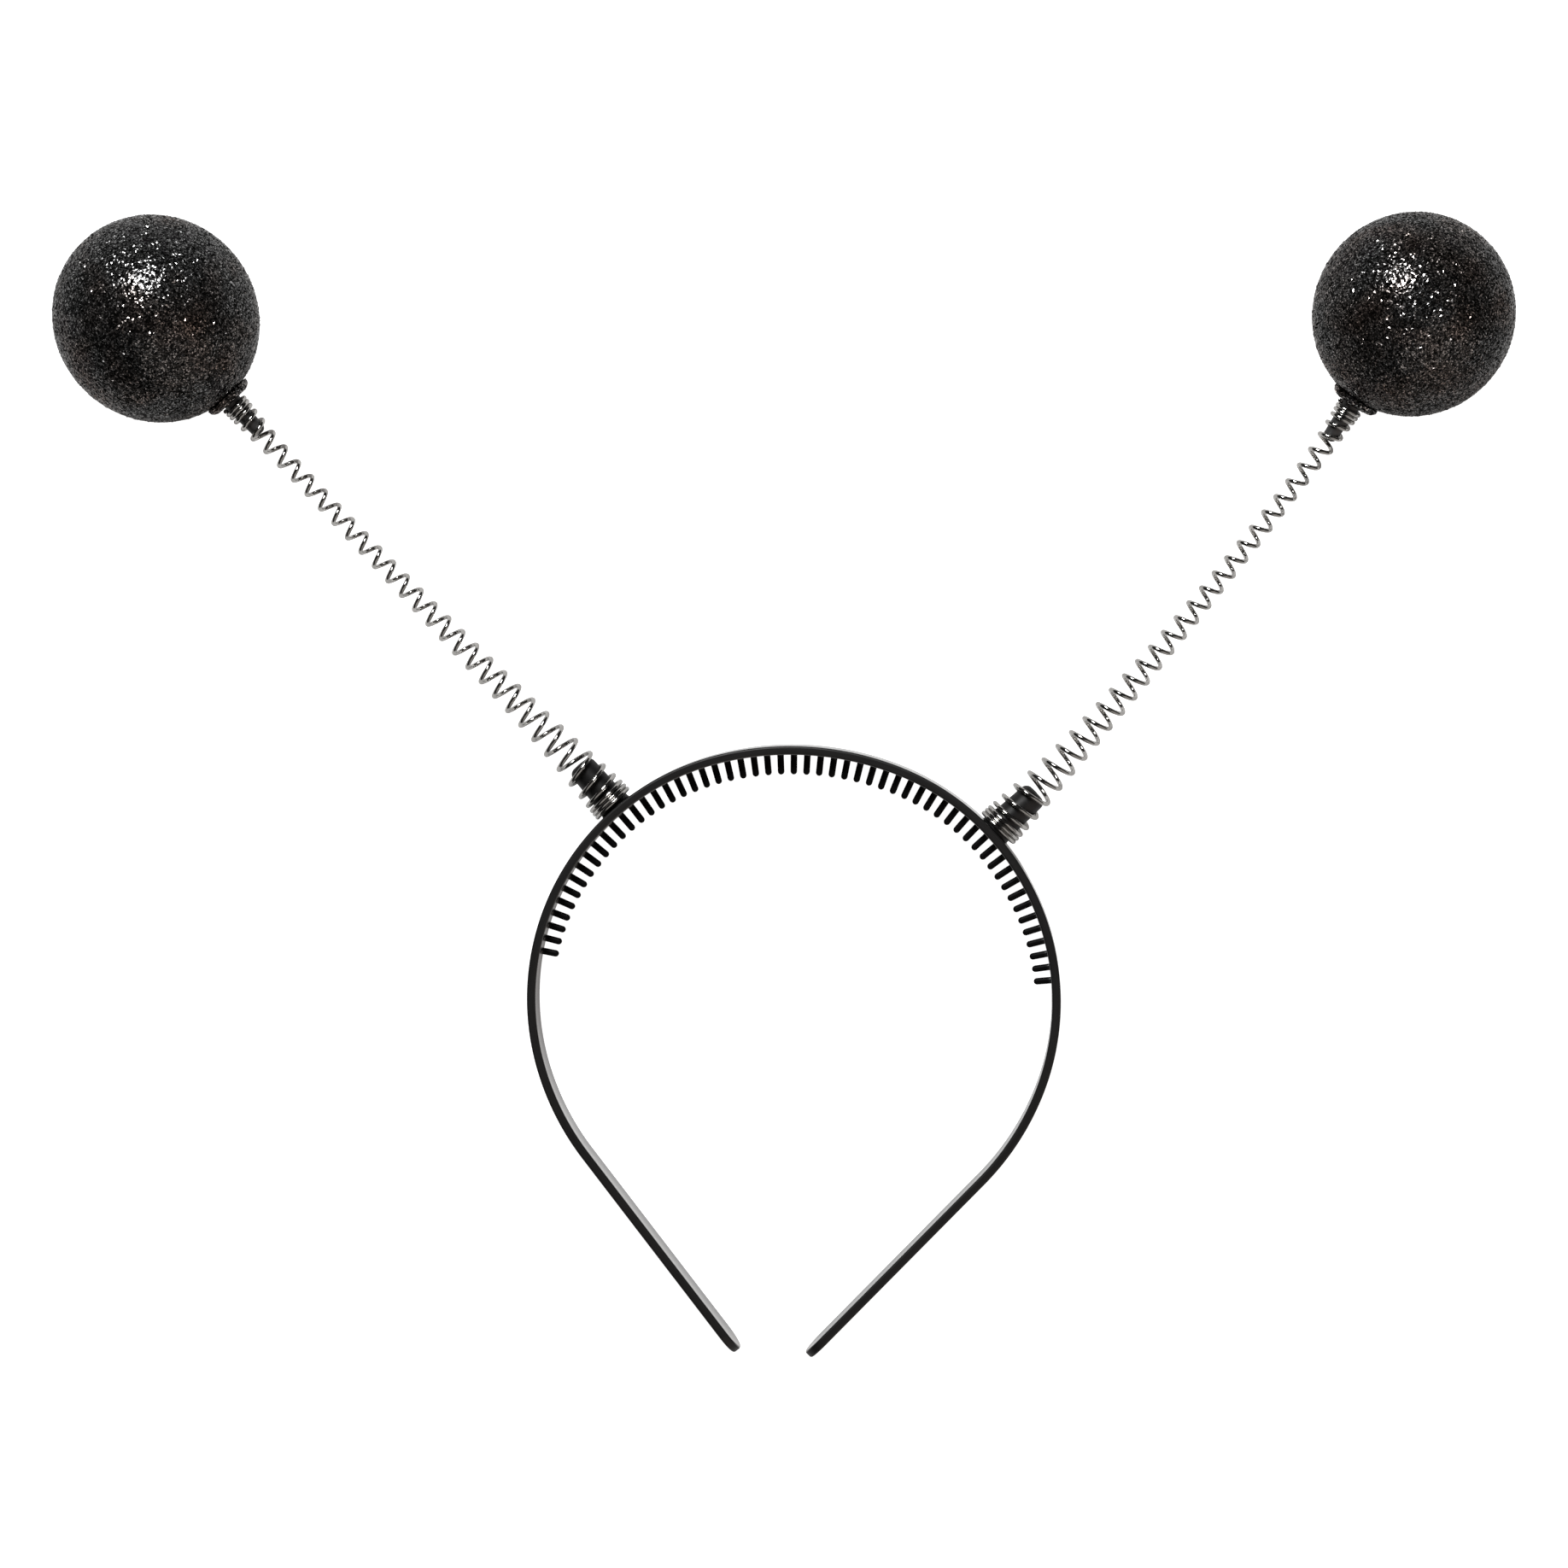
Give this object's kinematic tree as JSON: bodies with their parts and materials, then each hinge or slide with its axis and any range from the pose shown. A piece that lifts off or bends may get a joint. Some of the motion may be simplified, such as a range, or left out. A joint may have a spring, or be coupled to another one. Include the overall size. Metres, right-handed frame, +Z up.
{
  "type": "antenna headband",
  "caption": "Springy plastic hairband with comb teeth inside its crown and coil-spring antennae on its outer face, each tipped with a glittered foam ball; a costume headpiece.",
  "frame": {"origin": "middle of the footprint, on the surface that the headband lies on", "axes": "+Z up from that surface, +Y from the band's two tips towards its crown and the antennae, +X to the right seen from above"},
  "size_m": [0.3228, 0.2645, 0.045],
  "materials": {
    "black_plastic": "satin moulded black plastic, glossier on the inner face",
    "spring_wire": "bright nickel-plated steel wire",
    "plug_plastic": "black plastic, glittered on the flange",
    "black_glitter": "fine black glitter on foam"
  },
  "bodies": {
    "root": {"headband": "black_plastic", "spring_left": "spring_wire", "spring_right": "spring_wire", "ball_plug_left": "plug_plastic", "ball_plug_right": "plug_plastic", "ball_left": "black_glitter", "ball_right": "black_glitter"}
  },
  "joints": []
}
